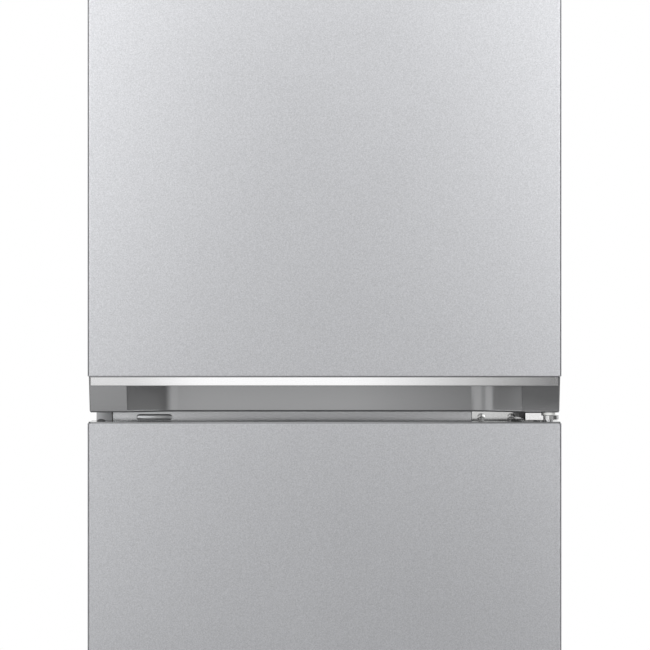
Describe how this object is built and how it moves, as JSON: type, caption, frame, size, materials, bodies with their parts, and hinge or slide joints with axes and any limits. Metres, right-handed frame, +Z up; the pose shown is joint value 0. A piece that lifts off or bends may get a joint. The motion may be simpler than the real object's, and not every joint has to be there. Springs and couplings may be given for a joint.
{
  "type": "fridge freezer",
  "caption": "Tall free-standing fridge freezer: fridge door above freezer door, recessed grip along the split between them, drawers, glass shelves, door bins and a compressor bay at the back.",
  "frame": {"origin": "on the floor, under the middle of the object's plan", "axes": "+Z up, -Y out of the door fronts, +X towards the hinge side"},
  "size_m": [0.595, 0.667, 1.85],
  "materials": {
    "silver_door": "satin",
    "silver_cabinet": "satin",
    "galvanised_steel": "satin",
    "zinc_hinge": "satin",
    "pin_steel": "polished",
    "white_liner": "satin",
    "foam": "matte",
    "dark_grip": "satin",
    "bright_trim": "polished",
    "grey_moulding": "satin",
    "dark_plug": "satin",
    "white_bush": "satin",
    "gasket_grey": "matte",
    "shelf_glass": "polished",
    "shelf_trim_plastic": "satin",
    "clear_plastic": "polished",
    "panel_black": "gloss",
    "light_lens": "satin",
    "black_plastic": "matte",
    "compressor_black": "satin",
    "copper_tube": "satin",
    "coil_aluminium": "satin",
    "fan_plastic": "satin"
  },
  "bodies": {
    "cabinet": {"cabinet_shell": "silver_cabinet", "middle_rail": "silver_cabinet", "back_panel": "galvanised_steel", "base_pan": "galvanised_steel", "compressor_tray": "galvanised_steel", "machine_cover": "galvanised_steel", "top_hinge_bracket": "zinc_hinge", "middle_hinge_bracket": "zinc_hinge", "bottom_hinge_bracket": "zinc_hinge", "hinge_screws": "zinc_hinge", "hinge_pins": "pin_steel", "defrost_heater": "pin_steel", "fridge_liner": "white_liner", "freezer_liner": "white_liner", "fridge_air_duct": "white_liner", "freezer_air_panel": "white_liner", "insulation_foam": "foam", "top_hinge_cover": "grey_moulding", "rail_slot_cover": "grey_moulding", "glass_shelves": "shelf_glass", "shelf_trims": "shelf_trim_plastic", "control_panel": "panel_black", "ceiling_light_lens": "light_lens", "mains_inlet": "black_plastic", "drip_tray": "black_plastic", "compressor": "compressor_black", "refrigerant_tubes": "copper_tube", "evaporator": "coil_aluminium", "fan_motor": "fan_plastic"},
    "fridge_door": {"fridge_door_skin": "silver_door", "fridge_door_foam": "foam", "fridge_door_top_cap": "grey_moulding", "handle_grip": "dark_grip", "handle_trim": "bright_trim", "fridge_door_liner": "white_liner", "fridge_door_gasket": "gasket_grey", "fridge_door_bushes": "white_bush"},
    "freezer_door": {"freezer_door_skin": "silver_door", "freezer_door_foam": "foam", "freezer_door_top_cap": "grey_moulding", "freezer_door_bottom_cap": "grey_moulding", "hinge_hole_plug": "dark_plug", "freezer_door_liner": "white_liner", "freezer_door_gasket": "gasket_grey", "freezer_door_bushes": "white_bush"},
    "crisper_drawer": {"crisper_drawer": "clear_plastic"},
    "bottom_freezer_drawer": {"bottom_freezer_drawer": "clear_plastic"},
    "middle_freezer_drawer": {"middle_freezer_drawer": "clear_plastic"},
    "top_freezer_drawer": {"top_freezer_drawer": "clear_plastic"},
    "bottle_bin": {"bottle_bin": "clear_plastic"},
    "middle_door_bin": {"middle_door_bin": "clear_plastic"},
    "upper_door_bin": {"upper_door_bin": "clear_plastic"},
    "left_foot": {"left_foot": "black_plastic"},
    "right_foot": {"right_foot": "black_plastic"},
    "left_roller": {"left_roller": "black_plastic"},
    "right_roller": {"right_roller": "black_plastic"},
    "evaporator_fan": {"evaporator_fan": "fan_plastic"},
    "damper_flap": {"damper_flap": "white_liner"}
  },
  "joints": [
    {"name": "fridge_door_hinge", "type": "hinge", "parent": "cabinet", "child": "fridge_door", "pos_m": [0.2835, -0.3115, 1.28], "axis": [0, 0, 1], "range_deg": [0, 120]},
    {"name": "freezer_door_hinge", "type": "hinge", "parent": "cabinet", "child": "freezer_door", "pos_m": [0.2835, -0.3115, 0.3825], "axis": [0, 0, 1], "range_deg": [0, 120]},
    {"name": "crisper_slide", "type": "slide", "parent": "cabinet", "child": "crisper_drawer", "axis": [0, -1, 0], "range_m": [0, 0.2]},
    {"name": "bottom_freezer_slide", "type": "slide", "parent": "cabinet", "child": "bottom_freezer_drawer", "axis": [0, -1, 0], "range_m": [0, 0.18]},
    {"name": "middle_freezer_slide", "type": "slide", "parent": "cabinet", "child": "middle_freezer_drawer", "axis": [0, -1, 0], "range_m": [0, 0.18]},
    {"name": "top_freezer_slide", "type": "slide", "parent": "cabinet", "child": "top_freezer_drawer", "axis": [0, -1, 0], "range_m": [0, 0.18]},
    {"name": "bottle_bin_lift", "type": "slide", "parent": "fridge_door", "child": "bottle_bin", "axis": [0, 0, 1], "range_m": [0, 0.03]},
    {"name": "middle_door_bin_lift", "type": "slide", "parent": "fridge_door", "child": "middle_door_bin", "axis": [0, 0, 1], "range_m": [0, 0.03]},
    {"name": "upper_door_bin_lift", "type": "slide", "parent": "fridge_door", "child": "upper_door_bin", "axis": [0, 0, 1], "range_m": [0, 0.03]},
    {"name": "left_foot_screw", "type": "hinge", "parent": "cabinet", "child": "left_foot", "pos_m": [-0.225, -0.2135, 0.02], "axis": [0, 0, 1], "continuous": true},
    {"name": "right_foot_screw", "type": "hinge", "parent": "cabinet", "child": "right_foot", "pos_m": [0.225, -0.2135, 0.02], "axis": [0, 0, 1], "continuous": true},
    {"name": "left_roller_spin", "type": "hinge", "parent": "cabinet", "child": "left_roller", "pos_m": [-0.236, 0.2935, 0.014], "axis": [1, 0, 0], "continuous": true},
    {"name": "right_roller_spin", "type": "hinge", "parent": "cabinet", "child": "right_roller", "pos_m": [0.236, 0.2935, 0.014], "axis": [1, 0, 0], "continuous": true},
    {"name": "evaporator_fan_spin", "type": "hinge", "parent": "cabinet", "child": "evaporator_fan", "pos_m": [0, 0.208, 0.6], "axis": [0, 1, 0], "continuous": true},
    {"name": "damper_flap_pivot", "type": "hinge", "parent": "cabinet", "child": "damper_flap", "pos_m": [0, 0.2635, 0.765], "axis": [-1, 0, 0], "range_deg": [0, 80]}
  ],
  "couplings": [
    {"joint": "crisper_slide", "follows": "fridge_door_hinge", "m_per_rad": 0.0954},
    {"joint": "bottom_freezer_slide", "follows": "freezer_door_hinge", "m_per_rad": 0.0859},
    {"joint": "middle_freezer_slide", "follows": "freezer_door_hinge", "m_per_rad": 0.0859},
    {"joint": "top_freezer_slide", "follows": "freezer_door_hinge", "m_per_rad": 0.0859}
  ]
}
